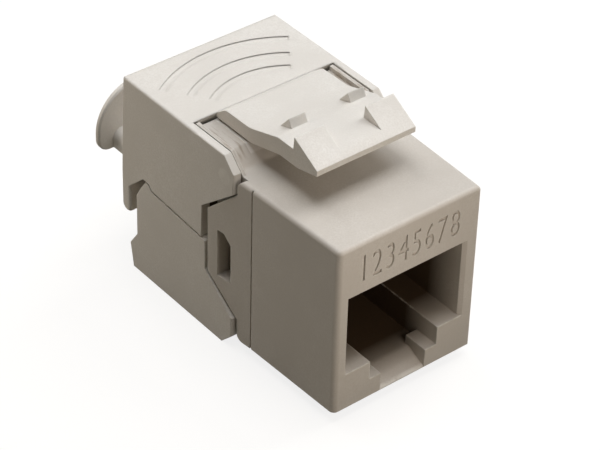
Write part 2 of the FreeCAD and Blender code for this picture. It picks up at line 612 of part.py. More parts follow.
def lower_outline():
    """Drawn turned over, in the upper arm's place; the nose is rounded about the pivot, to swing past the hook."""
    turned = lambda z: 2 * MID_Z - z
    front = arm_front(LOWER_SLOPE, LOWER_FRONT_Y)
    edge_z = turned(seam_z(NOSE_FRONT_Y, -1))
    nose_z = turned(MID_Z + NOSE_RISE)
    nose_y = NOSE_FRONT_Y + edge_z - nose_z
    top_y = nose_y + NOSE_LENGTH
    sweep_r = math.hypot(top_y - PIVOT_Y, UPPER_PIVOT_Z - nose_z)
    side_z = UPPER_PIVOT_Z - math.sqrt(sweep_r ** 2 - (LOWER_REAR_Y - PIVOT_Y) ** 2)
    edges = chain(front + [(LOWER_FRONT_Y, turned(seam_z(LOWER_FRONT_Y, -1))), (NOSE_FRONT_Y, edge_z),
                           (nose_y, nose_z), (top_y, nose_z)])
    edges.append(arc_about((top_y, nose_z), (PIVOT_Y, UPPER_PIVOT_Z), (LOWER_REAR_Y, side_z)))
    heel_z = ARM_TOP - HEEL_HEIGHT
    edges += chain([(LOWER_REAR_Y, side_z), (LOWER_REAR_Y + LOWER_REAR_DRAFT, heel_z - HEEL_SLOPE), (HEEL_Y, heel_z),
                    (HEEL_Y - HEEL_DRAFT, ARM_TOP), front[0]])
    return Part.Wire(edges)


def arm_blank(outline, edge_r):
    """Solid arm from its side outline, with the front edges of its sides rounded."""
    half = ARM_WIDTH / 2
    body = Part.Face(outline).extrude(V(ARM_WIDTH, 0, 0)).translated(V(-half, 0, 0))
    return fillet_where(body, edge_r, lambda p, q: near(abs(p.x), half) and near(p.x, q.x)
                        and near(p.y, ARM_FRONT_Y) and near(q.y, ARM_FRONT_Y))


def rail_bores():
    """Blind bearing holes in the rails for the housing's hinge pins."""
    hole = rod_x(PIN_R + BORE_CLEARANCE, RAIL_INNER - MERGE, HALF_HUB + PIN_LENGTH + BORE_END_GAP, PIVOT_Y,
                 UPPER_PIVOT_Z)
    return both_sides(hole)


def pressing_ribs():
    """Ribs under the upper arm's plate that push the wires into the terminals."""
    bottom = BLOCK_TOP + RIB_END_GAP
    top = ARM_TOP - ARM_PLATE + MERGE
    ribs = []
    for x in WIRE_X:
        row_y = terminal_row(x)
        rib = block(x - RIB_WIDTH / 2, x + RIB_WIDTH / 2, RIB_FRONT_Y, RIB_REAR_Y, bottom, top)
        gap = block(x - RIB_WIDTH, x + RIB_WIDTH, row_y - TERMINAL_THICKNESS / 2 - RIB_AHEAD,
                    row_y + TERMINAL_THICKNESS / 2 + RIB_BEHIND, bottom - MERGE,
                    BLOCK_TOP + TERMINAL_RISE + RIB_END_GAP)
        ribs.append(rib.cut(gap))
    return ribs


def plate_notch(notch_y, undercut):
    """Opens an arm's plate ahead of notch_y, between the rails; undercut slopes the plate's front edge."""
    low = ARM_TOP - ARM_PLATE
    front = PIVOT_Y - BEYOND
    side = [(front, MID_Z), (notch_y + undercut, MID_Z), (notch_y + undercut, low), (notch_y, ARM_TOP),
            (notch_y, ARM_TOP + BEYOND), (front, ARM_TOP + BEYOND)]
    return prism_x(side, -RAIL_INNER, RAIL_INNER)


def cable_passage(z0):
    """Bore for the cable through a rear wall, open from its axis towards the height z0."""
    y0, y1 = LOWER_WALL_Y - REAR_WALL, UPPER_REAR_Y + REAR_WALL
    slot = block(-CABLE_BORE_R, CABLE_BORE_R, y0, y1, min(z0, MID_Z), max(z0, MID_Z))
    return rod_y(CABLE_BORE_R, y0, y1, 0, MID_Z).fuse(slot)


def collar():
    """Arch over the cable with a flat foot on each side, and a flange that keeps a cable tie on it."""
    front_y = UPPER_REAR_Y - MERGE
    flange_y = FLANGE_REAR_Y - FLANGE_THICKNESS
    half = ARM_WIDTH / 2
    top, bottom = MID_Z + FLANGE_RISE, MID_Z - FLANGE_DROP
    plate = prism_y([(-half, bottom, FLANGE_BOTTOM_R), (half, bottom, FLANGE_BOTTOM_R), (half, top, FLANGE_TOP_R),
                     (-half, top, FLANGE_TOP_R)], flange_y, FLANGE_REAR_Y)
    plate = plate.makeChamfer(FLANGE_EDGE, [e for e in plate.Edges if near(e.BoundBox.YMin, e.BoundBox.YMax)])
    arch_r = CABLE_BORE_R + ARCH_WALL
    arch = rod_y(arch_r, front_y, flange_y + MERGE, 0, MID_Z)
    below = block(-half, half, front_y - MERGE, flange_y + MERGE, MID_Z - half, MID_Z)
    foot_low, foot_high = MID_Z - FOOT_DROP, MID_Z - FOOT_DROP + FOOT_HEIGHT
    foot_side = CABLE_BORE_R + FOOT_WIDTH
    foot = prism_y([(CABLE_BORE_R - ARCH_WALL, foot_low), (foot_side, foot_low, FOOT_BOTTOM_R),
                    (foot_side, foot_high, FOOT_TOP_R), (CABLE_BORE_R - ARCH_WALL, foot_high)],
                   front_y, flange_y + MERGE)
    whole = plate.fuse([arch.cut(below)] + both_sides(foot))
    bore = rod_y(CABLE_BORE_R, front_y - BEYOND, FLANGE_REAR_Y + BEYOND, 0, MID_Z)
    slot = block(-CABLE_BORE_R, CABLE_BORE_R, front_y - BEYOND, FLANGE_REAR_Y + BEYOND, bottom - BEYOND, MID_Z)
    flare = Part.makeCone(CABLE_BORE_R, CABLE_BORE_R + FLARE, FLARE, V(0, FLANGE_REAR_Y - FLARE, MID_Z), V(0, 1, 0))
    return whole.cut([bore, slot, flare])


def grip_grooves():
    """Shallow concentric arcs that give the thumb a hold."""
    grooves = []
    for radius in GROOVE_RADII:
        base = V(0, GROOVE_CENTRE_Y, ARM_TOP - GROOVE_DEPTH)
        outer = Part.makeCylinder(radius + GROOVE_WIDTH / 2, 1, base, V(0, 0, 1), 2 * GROOVE_HALF_ANGLE)
        inner = Part.makeCylinder(radius - GROOVE_WIDTH / 2, 1, base, V(0, 0, 1), 2 * GROOVE_HALF_ANGLE)
        ring = outer.cut(inner)
        ring.rotate(base, V(0, 0, 1), 90 - GROOVE_HALF_ANGLE)
        grooves.append(ring)
    return grooves


def upper_arm():
    half = ARM_WIDTH / 2
    body = arm_blank(upper_outline(), UPPER_FRONT_EDGE_R)
    body = fillet_where(body, ARM_REAR_EDGE_R, lambda p, q: near(abs(p.x), half) and near(p.x, q.x)
                        and min(p.z, q.z) > MID_Z - MERGE and min(p.y, q.y) > UPPER_REAR_Y - MERGE)
    top_half = half - ARM_DRAFT
    draft = prism_y([(half, MID_Z), (half + BEYOND, MID_Z), (half + BEYOND, ARM_TOP + MERGE), (top_half, ARM_TOP + MERGE),
                     (top_half, ARM_TOP)], ARM_FRONT_Y - BEYOND, UPPER_REAR_Y + BEYOND)
    body = body.cut(both_sides(draft))
    body = fillet_where(body, ARM_EDGE_R, lambda p, q: near(p.z, ARM_TOP) and near(q.z, ARM_TOP)
                        and near(p.x, q.x) and near(abs(p.x), top_half))
    foot_y = UPPER_REAR_Y + UPPER_REAR_LEAN - REAR_WALL
    low = MID_Z - HOOK_LENGTH - BEYOND
    inside = [(PIVOT_Y - BEYOND, low), (foot_y, low), (foot_y, MID_Z), (UPPER_REAR_Y - REAR_WALL, ARM_TOP - ARM_PLATE),
              (PIVOT_Y - BEYOND, ARM_TOP - ARM_PLATE)]
    body = body.cut([prism_x(inside, -RAIL_INNER, RAIL_INNER), plate_notch(UPPER_NOTCH_Y, NOTCH_UNDERCUT)])
    body = body.fuse(pressing_ribs()).cut([cable_passage(low)] + rail_bores() + grip_grooves())
    return body.fuse(collar()).removeSplitter()


def lower_arm():
    """Drawn turned over, in the upper arm's place, and flipped at the end."""
    body = arm_blank(lower_outline(), LOWER_FRONT_EDGE_R)
    low = MID_Z - BEYOND
    inside = [(PIVOT_Y - BEYOND, low), (LOWER_WALL_Y, low), (LOWER_WALL_Y, ARM_TOP - ARM_PLATE),
              (PIVOT_Y - BEYOND, ARM_TOP - ARM_PLATE)]
    body = body.cut([prism_x(inside, -RAIL_INNER, RAIL_INNER), plate_notch(LOWER_NOTCH_Y, 0)])
    body = body.fuse(pressing_ribs()).cut([cable_passage(low)] + rail_bores())
    return flipped(body).removeSplitter()


# ---------------------------------------------------------------- circuit board
def contact_x(index):
    return (index - (CONTACT_COUNT - 1) / 2) * CONTACT_PITCH


def contact_row(index):
    return CAVITY_TOP - CONTACT_ROW_DROPS[index % 2]


def terminal_row(x):
    return OUTER_ROW_Y if abs(x) > WIRE_PITCH else INNER_ROW_Y


def terminal_pin_z():
    return BLOCK_TOP - TERMINAL_FOOT + TERMINAL_PIN / 2


def circuit_board():
    half = BOARD_WIDTH / 2
    board = block(-half, half, BOARD_FRONT_Y, BOARD_REAR_Y, REAR_FLOOR + BOARD_MARGIN, CAVITY_TOP - BOARD_MARGIN)
    holes = []
    for i in range(CONTACT_COUNT):
        holes.append(rod_y(CONTACT_HOLE_R, BOARD_FRONT_Y - 1, BOARD_REAR_Y + 1, contact_x(i), contact_row(i)))
    for x in WIRE_X:
        for z in (terminal_pin_z(), 2 * MID_Z - terminal_pin_z()):
            holes.append(rod_y(TERMINAL_HOLE_R, BOARD_FRONT_Y - 1, BOARD_REAR_Y + 1, x, z))
    return board.cut(holes)


# ---------------------------------------------------------------- contacts
def contact_carrier():
    half = PORT_WIDTH / 2 - FIT
    rear = PORT_DEPTH
    wall_front = rear - CARRIER_WALL
    top = block(-half, half, FRONT_WALL + FIT, rear, PORT_TOP + FIT, CAVITY_TOP - FIT)
    wall = block(-half, half, wall_front, rear, LEDGE_TOP + FIT, PORT_TOP + FIT)
    end_z = LEDGE_TOP + CONTACT_END_RISE
    cuts = []
    for i in range(CONTACT_COUNT):
        x0, x1 = contact_x(i) - CONTACT_SLOT / 2, contact_x(i) + CONTACT_SLOT / 2
        roof = contact_row(i) + CONTACT_THICKNESS / 2 + CONTACT_ROOM
        cuts.append(block(x0, x1, CONTACT_FRONT_Y - COMB_DEPTH, rear + 1, PORT_TOP, roof))
        cuts.append(block(x0, x1, wall_front - 1, wall_front + COMB_DEPTH, end_z - COMB_DROP, PORT_TOP))
    return top.fuse(wall).cut(cuts).removeSplitter()


def contact(index):
    """Sprung wire from the board, forward over the port, round the front and back down into it."""
    x = contact_x(index)
    row = contact_row(index)
    corners = [(BOARD_REAR_Y + CONTACT_TAIL, row), (CONTACT_FRONT_Y, row),
               (CONTACT_FRONT_Y, PORT_TOP + CONTACT_KNEE_RISE), (CONTACT_END_Y, LEDGE_TOP + CONTACT_END_RISE)]
    places = [V(x, y, z) for y, z in corners]
    edges = []
    start = places[0]
    for before, corner, after in zip(places, places[1:], places[2:]):
        inward = (before - corner).normalize()
        onward = (after - corner).normalize()
        half = inward.getAngle(onward) / 2
        run = CONTACT_BEND_R / math.tan(half)
        arc_start = corner + inward * run
        middle = corner + (inward + onward).normalize() * (CONTACT_BEND_R / math.sin(half) - CONTACT_BEND_R)
        arc_end = corner + onward * run
        edges.append(Part.makeLine(start, arc_start))
        edges.append(Part.Arc(arc_start, middle, arc_end).toShape())
        start = arc_end
    edges.append(Part.makeLine(start, places[-1]))
    w, t = CONTACT_WIDTH / 2, CONTACT_THICKNESS / 2
    y, z = corners[0]
    ring = [V(x - w, y, z - t), V(x + w, y, z - t), V(x + w, y, z + t), V(x - w, y, z + t)]
    section = Part.makePolygon(ring + [ring[0]])
    return Part.Wire(edges).makePipeShell([section], True, False)


# ---------------------------------------------------------------- terminal block and its terminals
def snap_tongue():
    """Tongue beside the board, with a tooth that sits in the ear's window."""
    outer = BLOCK_WIDTH / 2
    inner = outer - TONGUE_THICKNESS
    z0 = WINDOW_BOTTOM + SNAP_CLEARANCE
    z1 = WINDOW_TOP - WINDOW_CORNER
    tongue = block(inner, outer, PORT_DEPTH + FIT, BLOCK_FRONT_Y + MERGE, z0, z1)
    tooth_rear = WINDOW_REAR_Y - SNAP_CLEARANCE
    plan = [(inner, WINDOW_FRONT_Y + SNAP_CLEARANCE), (outer, WINDOW_FRONT_Y + SNAP_CLEARANCE),
            (outer + TONGUE_TOOTH_REACH, tooth_rear - TONGUE_TOOTH_FACE), (outer + TONGUE_TOOTH_REACH, tooth_rear),
            (inner, tooth_rear)]
    return tongue.fuse(prism_z(plan, z0, z1))


def block_upper_cuts():
    """Wire channels, terminal slots and pin holes of the upper half."""
    cuts = []
    room = FIT / 2
    for x in WIRE_X:
        row_y = terminal_row(x)
        half = TERMINAL_WIDTH / 2 + room
        cuts.append(rod_y(WIRE_R, BLOCK_FLANGE_REAR_Y + MERGE, SPLITTER_Y + 1, x, BLOCK_TOP + WIRE_LIFT))
        cuts.append(block(x - half, x + half, row_y - TERMINAL_THICKNESS / 2 - room,
                          row_y + TERMINAL_THICKNESS / 2 + room, BLOCK_TOP - TERMINAL_FOOT - room,
                          BLOCK_TOP + COMB_RISE + 1))
        pin = TERMINAL_PIN / 2 + room
        cuts.append(block(x - pin, x + pin, BLOCK_FRONT_Y - 1, row_y, terminal_pin_z() - pin, terminal_pin_z() + pin))
    return cuts


def terminal_block():
    half = BLOCK_WIDTH / 2
    flange = block(-half, half, BLOCK_FRONT_Y, BLOCK_FLANGE_REAR_Y, REAR_FLOOR + FIT, CAVITY_TOP - FIT)
    low, high = MID_Z - BLOCK_HALF_HEIGHT, BLOCK_TOP
    core_front = BLOCK_FLANGE_REAR_Y - MERGE
    side = [(core_front, low), (BLOCK_REAR_Y, low), (SPLITTER_Y, MID_Z - SPLITTER_HALF, SPLITTER_R),
            (SPLITTER_Y, MID_Z + SPLITTER_HALF, SPLITTER_R), (BLOCK_REAR_Y, high), (core_front, high)]
    core = prism_x(side, -half, half)
    posts = []
    comb_y = BLOCK_REAR_Y - COMB_WALL
    for i in range(len(WIRE_X) + 1):
        x = WIRE_X[0] + (i - 0.5) * WIRE_PITCH
        x0 = max(x - COMB_POST / 2, -half)
        x1 = min(x + COMB_POST / 2, half)
        post = block(x0, x1, comb_y, comb_y + COMB_WALL, MID_Z, high + COMB_RISE)
        posts += [post, flipped(post)]
    body = flange.fuse([core] + posts + both_sides(snap_tongue()))
    cuts = block_upper_cuts()
    return body.cut(cuts + [flipped(c) for c in cuts]).removeSplitter()


def terminal(x, upper):
    """Forked plate that cuts into the wire, with a pin to the board."""
    row_y = terminal_row(x)
    half = TERMINAL_WIDTH / 2
    slot = TERMINAL_SLOT / 2
    mouth = slot + TERMINAL_MOUTH / 2
    corner = TERMINAL_CORNER
    top = BLOCK_TOP + TERMINAL_RISE
    bottom = BLOCK_TOP - TERMINAL_FOOT
    fork = [(x - half, bottom), (x + half, bottom), (x + half, top - corner), (x + half - corner, top),
            (x + mouth, top), (x + slot, top - TERMINAL_MOUTH), (x + slot, top - TERMINAL_SLOT_DEPTH),
            (x - slot, top - TERMINAL_SLOT_DEPTH), (x - slot, top - TERMINAL_MOUTH), (x - mouth, top),
            (x - half + corner, top), (x - half, top - corner)]
    plate = prism_y(fork, row_y - TERMINAL_THICKNESS / 2, row_y + TERMINAL_THICKNESS / 2)
    pin = block(x - TERMINAL_PIN / 2, x + TERMINAL_PIN / 2, BOARD_FRONT_Y - PIN_TAIL, row_y,
                bottom, bottom + TERMINAL_PIN)
    whole = plate.fuse(pin).removeSplitter()
    return whole if upper else flipped(whole)


# ---------------------------------------------------------------- all pieces
def pieces():
    nodes = {
        "front_housing": front_housing(),
        "upper_arm": upper_arm(),
        "lower_arm": lower_arm(),
        "terminal_block": terminal_block(),
        "contact_carrier": contact_carrier(),
        "circuit_board": circuit_board(),
    }
    for i in range(CONTACT_COUNT):
        nodes["contact_%d" % (i + 1)] = contact(i)
    for i, x in enumerate(WIRE_X):
        nodes["idc_terminal_%d" % (i + 1)] = terminal(x, True)
        nodes["idc_terminal_%d" % (i + 1 + len(WIRE_X))] = terminal(x, False)
    return nodes


def main():
    os.makedirs("parts", exist_ok=True)
    to_origin = V(0, -FLANGE_REAR_Y / 2, -ARM_BOTTOM)
    for name, shape in pieces().items():
        placed = shape.translated(to_origin)
        solids = placed.Solids
        box = placed.BoundBox
        print("%-16s solids %d valid %s volume %.2f  x %.2f..%.2f y %.2f..%.2f z %.2f..%.2f" % (
            name, len(solids), placed.isValid(), placed.Volume,
            box.XMin, box.XMax, box.YMin, box.YMax, box.ZMin, box.ZMax))
        kept = solids[0] if len(solids) == 1 else Part.makeCompound(solids)
        kept.exportStep("parts/%s.step" % name)


main()
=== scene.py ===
import math

import bmesh
import bpy
from mathutils import Matrix, Vector


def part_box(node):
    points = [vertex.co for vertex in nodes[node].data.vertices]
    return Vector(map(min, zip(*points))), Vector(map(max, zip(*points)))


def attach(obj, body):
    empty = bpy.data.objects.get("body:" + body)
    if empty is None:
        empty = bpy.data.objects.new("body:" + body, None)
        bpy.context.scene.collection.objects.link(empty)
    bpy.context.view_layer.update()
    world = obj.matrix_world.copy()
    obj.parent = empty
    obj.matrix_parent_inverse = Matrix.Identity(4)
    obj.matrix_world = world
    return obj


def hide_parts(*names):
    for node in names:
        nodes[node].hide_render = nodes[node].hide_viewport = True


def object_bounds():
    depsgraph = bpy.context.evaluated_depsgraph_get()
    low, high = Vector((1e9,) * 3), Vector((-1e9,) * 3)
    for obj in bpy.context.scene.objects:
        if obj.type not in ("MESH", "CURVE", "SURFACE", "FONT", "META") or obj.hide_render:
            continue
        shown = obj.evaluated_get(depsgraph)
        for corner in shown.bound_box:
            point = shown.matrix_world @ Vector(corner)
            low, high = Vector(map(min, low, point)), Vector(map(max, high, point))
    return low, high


MM = 0.001               # the frame is in metres

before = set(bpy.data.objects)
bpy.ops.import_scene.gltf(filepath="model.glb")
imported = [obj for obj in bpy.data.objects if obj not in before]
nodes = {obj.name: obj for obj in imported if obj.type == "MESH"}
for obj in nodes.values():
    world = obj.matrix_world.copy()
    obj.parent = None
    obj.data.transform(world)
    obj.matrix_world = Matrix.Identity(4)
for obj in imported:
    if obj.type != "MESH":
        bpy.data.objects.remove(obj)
cad_low, cad_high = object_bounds()
scene = bpy.context.scene
collection = scene.collection
scene.view_settings.view_transform = "Standard"


# ---------------------------------------------------------------- camera
CAMERA_AZIMUTH = math.radians(-39.542)      # turned from the front of the jack towards -X
CAMERA_ELEVATION = math.radians(37.655)
CAMERA_ROLL = math.radians(1.598)
CAMERA_PLACE = Vector((-101.44, -109.30, 131.36))     # mm, from the floor under the front face
CAMERA_LENS = 145.62     # mm
CAMERA_SENSOR = 36       # mm
CAMERA_REACH = (0.01, 10)     # m, nearest and farthest that it sees


def make_camera():
    back = Vector((math.sin(CAMERA_AZIMUTH) * math.cos(CAMERA_ELEVATION),
                   -math.cos(CAMERA_AZIMUTH) * math.cos(CAMERA_ELEVATION),
                   math.sin(CAMERA_ELEVATION)))
    level = Vector((0, 0, 1)).cross(back).normalized()
    upright = back.cross(level)
    side = level * math.cos(CAMERA_ROLL) + upright * math.sin(CAMERA_ROLL)
    top = upright * math.cos(CAMERA_ROLL) - level * math.sin(CAMERA_ROLL)
    data = bpy.data.cameras.new("camera")
    data.lens = CAMERA_LENS
    data.sensor_width = CAMERA_SENSOR
    data.clip_start, data.clip_end = CAMERA_REACH
    camera = bpy.data.objects.new("camera", data)
    collection.objects.link(camera)
    turn = Matrix((side, top, back)).transposed().to_4x4()
    place = Vector((0, cad_low[1], 0)) + CAMERA_PLACE * MM
    camera.matrix_world = Matrix.Translation(place) @ turn
    scene.camera = camera


# ---------------------------------------------------------------- node helpers
class Shader:
    """Small helper that adds nodes to one material and links them."""

    def __init__(self, name):
        self.material = bpy.data.materials.new(name)
        self.material.use_nodes = True
        self.tree = self.material.node_tree
        self.surface = self.tree.nodes["Principled BSDF"]
        self.object_space = self.add("ShaderNodeTexCoord").outputs["Object"]

    def add(self, kind, **values):
        node = self.tree.nodes.new(kind)
        for key, value in values.items():
            setattr(node, key, value)
        return node

    def link(self, source, target):
        self.tree.links.new(source, target)

    def noise(self, scale, detail, roughness=0.5, stretch=None):
        """Noise with this many features a metre, squeezed by stretch along X, Y and Z."""
        node = self.add("ShaderNodeTexNoise")
        node.inputs["Scale"].default_value = scale
        node.inputs["Detail"].default_value = detail
        node.inputs["Roughness"].default_value = roughness
        place = self.object_space
        if stretch:
            mapping = self.add("ShaderNodeMapping")
            mapping.inputs["Scale"].default_value = stretch
            self.link(place, mapping.inputs["Vector"])
            place = mapping.outputs["Vector"]
        self.link(place, node.inputs["Vector"])
        return node.outputs["Fac"]

    def ramp(self, source, low, high, start=0.3, end=0.7):
        """Low up to where the source is start, high from where it is end."""
        node = self.add("ShaderNodeMapRange")
        node.inputs["From Min"].default_value = start
        node.inputs["From Max"].default_value = end
        node.inputs["To Min"].default_value = low
        node.inputs["To Max"].default_value = high
        self.link(source, node.inputs["Value"])
        return node.outputs["Result"]

    def band(self, source, start, end):
        """0 at start and 1 at end, both in mm, falling where end comes first."""
        low = min(start, end) * MM
        high = max(start, end) * MM
        return self.ramp(source, float(start > end), float(start < end), low, high)

    def compute(self, operation, first, second=None):
        node = self.add("ShaderNodeMath", operation=operation)
        self.link(first, node.inputs[0])
        if second is not None:
            self.link(second, node.inputs[1])
        return node.outputs[0]

    def times(self, *factors):
        product = factors[0]
        for factor in factors[1:]:
            product = self.compute("MULTIPLY", product, factor)
        return product

    def mix(self, factor, first, second):
        """The first colour where the factor is 0, the second where it is 1."""
        node = self.add("ShaderNodeMix", data_type="RGBA")
        self.link(factor, node.inputs[0])
        for socket, colour in ((node.inputs[6], first), (node.inputs[7], second)):
            if isinstance(colour, tuple):
                socket.default_value = (*colour, 1)
            else:
                self.link(colour, socket)
        return node.outputs[2]

    def bump(self, height, distance, strength, normal=None):
        node = self.add("ShaderNodeBump")
        node.inputs["Strength"].default_value = strength
        node.inputs["Distance"].default_value = distance
        self.link(height, node.inputs["Height"])
        if normal is not None:
            self.link(normal, node.inputs["Normal"])
        return node.outputs["Normal"]

    def nearness(self, reach, inside=False):
        """1 in a corner, 0 on an open face: inner corners, or outer edges where inside is set."""
        node = self.add("ShaderNodeAmbientOcclusion", samples=6, inside=inside)
        node.inputs["Distance"].default_value = reach
        return self.ramp(node.outputs["AO"], 1.0, 0.0, 0.0, 1.0)

    def place(self):
        """Where a point lies on its piece: sideways from the middle, back and up, in metres."""
        node = self.add("ShaderNodeSeparateXYZ")
        self.link(self.object_space, node.inputs[0])
        aside = self.compute("ABSOLUTE", node.outputs["X"])
        return aside, node.outputs["Y"], node.outputs["Z"]


def linear(red, green, blue):
    """Linear colour of an 8-bit display colour."""
    parts = []
    for value in (red, green, blue):
        share = value / 255
        parts.append(((share + 0.055) / 1.055) ** 2.4 if value > 10 else share / 12.92)
    return tuple(parts)


# ---------------------------------------------------------------- painted shade and wear by place
LEVER_HALF = 5.2         # mm from the middle, just outside the lever
LEVER_FOOT = 17.8        # mm above the floor, just above the case's top
PORT_HALF = 6.1          # mm from the middle, just past the face of the port's side walls
PORT_LOW = 1.6           # mm above the floor, between the case's underside and the port's floor
PORT_HIGH = 12.4         # mm above the floor, just above the port's ceiling
PORT_SHADE_START = 0.7           # mm behind the front face, where the port's painted shade begins
PORT_SHADE_FULL = 4.0          # and where the painted shade is full
PORT_END = 13.0          # and where the port is over
# painted shade: the colour the case's body is darkened towards, standing in for the shade on it;
# the lever is left out
BODY_SHADE_COLOUR = linear(137, 121, 102)
BODY_SHADE_AMOUNT = 0.3           # how much of this painted shade the case's body has
# painted shade: the colour the inside of the port is darkened towards
PORT_SHADE_COLOUR = linear(74, 60, 46)
SCRATCH_STRETCH = (9, 1, 1)


def paint_body_shade(shader, base):
    """Painted shade: the case's body is coloured darker than its lever, standing in for the shade
    that falls on it.
    """
    aside, _, height = shader.place()
    lever = shader.times(shader.band(aside, LEVER_HALF + 0.05, LEVER_HALF - 0.05),
                         shader.band(height, LEVER_FOOT, LEVER_FOOT + 0.3))
    return shader.mix(shader.ramp(lever, BODY_SHADE_AMOUNT, 0.0), base, BODY_SHADE_COLOUR)


def paint_port_shade(shader, base):
    """Painted shade: the inside of the port is coloured darker towards its rear, standing in for
    the shade in it.
    """
    aside, along, height = shader.place()
    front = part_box("front_housing")[0][1] / MM
    port = shader.times(shader.band(aside, PORT_HALF + 0.3, PORT_HALF),
                        shader.band(along, front + PORT_SHADE_START, front + PORT_SHADE_FULL),
                        shader.band(along, front + PORT_END + 0.3, front + PORT_END),
                        shader.band(height, PORT_LOW - 0.2, PORT_LOW),
                        shader.band(height, PORT_HIGH + 0.2, PORT_HIGH))
    return shader.mix(port, base, PORT_SHADE_COLOUR)


def scratched_hub(shader, base, dirt_and_shade):
    """Lengthwise scratches on the two strips beside the lever, where the upper arm turns."""
    aside, along, height = shader.place()
    arm_low, arm_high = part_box("upper_arm")
    start = arm_low[1] / MM
    top = arm_high[2] / MM
    hub = shader.times(shader.band(aside, LEVER_HALF, LEVER_HALF + 0.2),
                       shader.band(height, top - 1.3, top - 0.9),
                       shader.band(along, start + 0.6, start + 1.2),
                       shader.band(along, start + 6.0, start + 5.2))
    lines = shader.ramp(shader.noise(WAVES, 3, 0.6, SCRATCH_STRETCH), 0.0, 0.6, 0.50, 0.68)
    return shader.mix(shader.times(hub, lines), base, dirt_and_shade)


def soft_arcs(shader, grime_and_shade):
    """The soiling and painted corner shade without the shallow grip arcs, and the edge radius that
    softens them.
    """
    _, along, height = shader.place()
    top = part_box("upper_arm")[1][2] / MM
    arcs = shader.times(shader.band(height, top - 0.3, top - 0.2), shader.band(along, 1.0, 2.0))
    grime_and_shade_off_top = shader.times(grime_and_shade, shader.band(height, top - 0.05, top - 0.5))
    return grime_and_shade_off_top, shader.ramp(arcs, EDGE_RADIUS, ARC_RADIUS)


# ---------------------------------------------------------------- materials
CLOUDS = 170             # features a metre of each noise, from the broadest to the finest
WAVES = 420
MOTTLE = 1100
GRAIN = 6500
# reach of the soiling and painted shade in corners and creases
SHADE_AND_GRIME_REACH = 0.45 * MM
RUB_REACH = 0.22 * MM
EDGE_RADIUS = 0.10 * MM
ARC_RADIUS = 0.45 * MM

# Display colours of each plastic: its own, its darker mottling tone, its soiling and painted corner
# shade, and its rubbed edges.
IVORY = ((235, 232, 227), (224, 220, 214), (140, 120, 98), (243, 241, 236))
DARK = ((34, 28, 23), (27, 22, 18), (14, 11, 9), (52, 45, 38))
BROWN = ((120, 104, 86), (106, 92, 76), (52, 42, 33), (140, 126, 108))


def plastic(name, tones, rough=0.5, case=False, arms=False):
    """Moulded plastic: cloudy colour, fine grain, soiling and painted shade in its corners and
    paler rubbed edges.
    """
    colour, shade, dirt_and_shade, worn = (linear(*tone) for tone in tones)
    shader = Shader(name)
    mottle = shader.noise(MOTTLE, 3, 0.6)
    grain = shader.noise(GRAIN, 2, 0.6)
    patches = shader.ramp(mottle, 0.4, 1.0, 0.35, 0.6)
    base = shader.mix(shader.ramp(shader.noise(CLOUDS, 3), 0.0, 0.8, 0.38, 0.62), colour, shade)
    base = shader.mix(shader.ramp(mottle, 0.0, 0.45, 0.42, 0.7), base, shade)
    base = shader.mix(shader.ramp(grain, 0.0, 0.9, 0.36, 0.66), base, shade)
    # soiling and painted shade: corners and creases darkened where shade falls
    grime_and_shade = shader.times(shader.nearness(SHADE_AND_GRIME_REACH), patches)
    edge = shader.add("ShaderNodeBevel", samples=6)
    edge.inputs["Radius"].default_value = EDGE_RADIUS
    # the case gets painted shade on its body and in its port, and scratches beside the lever
    if case:
        base = paint_body_shade(shader, base)
        base = paint_port_shade(shader, base)
        base = scratched_hub(shader, base, dirt_and_shade)
    if arms:
        grime_and_shade, radius = soft_arcs(shader, grime_and_shade)
        shader.link(radius, edge.inputs["Radius"])
    # corners and creases take the soiling and painted shade colour
    base = shader.mix(shader.ramp(grime_and_shade, 0.0, 0.6, 0.35, 0.9), base, dirt_and_shade)
    rubbed = shader.times(shader.nearness(RUB_REACH, inside=True), patches)
    base = shader.mix(shader.ramp(rubbed, 0.0, 0.7, 0.15, 0.6), base, worn)
    shader.link(base, shader.surface.inputs["Base Color"])
    shader.link(shader.ramp(grain, rough - 0.06, rough + 0.08), shader.surface.inputs["Roughness"])
    shader.surface.inputs["Specular IOR Level"].default_value = 0.4
    normal = shader.bump(grain, 0.012 * MM, 0.7, edge.outputs["Normal"])
    normal = shader.bump(shader.noise(WAVES, 2), 0.03 * MM, 0.35, normal)
    shader.link(normal, shader.surface.inputs["Normal"])
    return shader.material


def metal(name, colour, shade, rough):
    """Plated sheet metal with streaks from the rolling and a little tarnish."""
    shader = Shader(name)
    tarnish = shader.ramp(shader.noise(900, 3), 0.0, 1.0)
    shader.link(shader.mix(tarnish, colour, shade), shader.surface.inputs["Base Color"])
    shader.surface.inputs["Metallic"].default_value = 1.0
    streaks = shader.noise(300, 2, 0.5, (12, 1, 1))
    shader.link(shader.ramp(streaks, rough - 0.08, rough + 0.1), shader.surface.inputs["Roughness"])
    shader.link(shader.bump(streaks, 0.004 * MM, 0.4), shader.surface.inputs["Normal"])
    return shader.material


def board_material():
    """Green lacquer over the weave of a circuit board."""
    shader = Shader("board_green")
    weave = shader.noise(1500, 2)
    green = shader.mix(shader.ramp(weave, 0.0, 1.0), linear(24, 74, 44), linear(38, 96, 58))
    shader.link(green, shader.surface.inputs["Base Color"])
    shader.surface.inputs["Roughness"].default_value = 0.35
    shader.link(shader.bump(weave, 0.01 * MM, 0.3), shader.surface.inputs["Normal"])
    return shader.material


